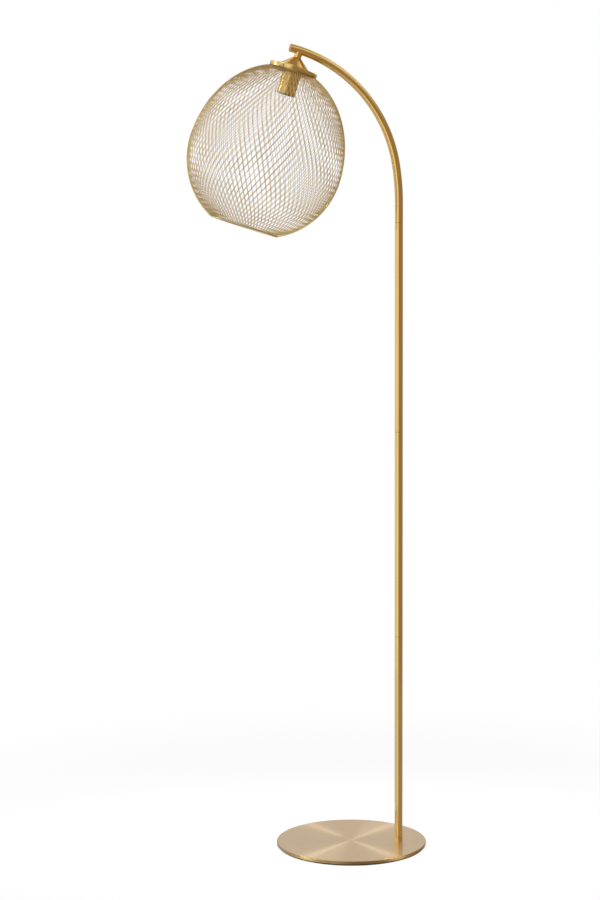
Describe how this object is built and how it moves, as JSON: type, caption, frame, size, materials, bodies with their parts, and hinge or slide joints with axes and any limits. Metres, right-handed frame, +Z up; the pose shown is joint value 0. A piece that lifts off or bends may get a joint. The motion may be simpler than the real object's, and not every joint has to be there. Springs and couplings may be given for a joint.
{
  "type": "floor lamp",
  "caption": "Floor lamp: a round flat base, a slender jointed pole, an arched arm and a swivelling woven-look wire cage shade round a screw lampholder.",
  "frame": {"origin": "on the floor, at the centre of the round base", "axes": "+Z up; the pole stands at +X and the arm carries the shade over towards -X; +Y is the back"},
  "size_m": [0.4703, 0.303, 1.5955],
  "materials": {
    "turned_brass": "turned in fine circles, satin, lacquered",
    "brass": "satin, polished along the tube",
    "wire_brass": "satin drawn wire",
    "zinc_steel": "zinc plated",
    "nickel": "nickel plated",
    "black_plastic": "moulded, fine grain",
    "pad": "dull, fine grain"
  },
  "bodies": {
    "stand": {"base_plate": "turned_brass", "base_pad": "pad", "base_washer": "zinc_steel", "base_nut": "zinc_steel", "base_nipple": "zinc_steel", "pole_lower": "brass", "pole_middle": "brass", "pole_upper": "brass", "cord_grommet": "black_plastic", "tube_bushes": "zinc_steel", "tube_connectors": "zinc_steel", "arm_tube": "brass", "arm_end_plug": "brass", "neck_boss": "brass", "neck_nipple": "zinc_steel", "neck_washer": "zinc_steel", "neck_nut": "zinc_steel"},
    "head": {"canopy": "brass", "shade_cap": "brass", "grip_screws": "brass", "cage_inner": "wire_brass", "cage_outer_wires": "wire_brass", "holder_cup": "brass", "terminal_block": "black_plastic", "terminal_screws": "nickel", "holder_body": "black_plastic", "screw_shell": "nickel"},
    "contact": {"centre_contact": "nickel"}
  },
  "joints": [
    {"name": "head_swivel", "type": "hinge", "parent": "stand", "child": "head", "pos_m": [-0.09923, 0, 1.58257], "axis": [0.3156, 0, 0.9489], "range_deg": [-170, 170]},
    {"name": "contact_spring", "type": "slide", "parent": "head", "child": "contact", "axis": [0.3156, 0, 0.9489], "range_m": [0, 0.0015], "stiffness_N_per_m": 1200, "springref_m": -0.0005}
  ]
}
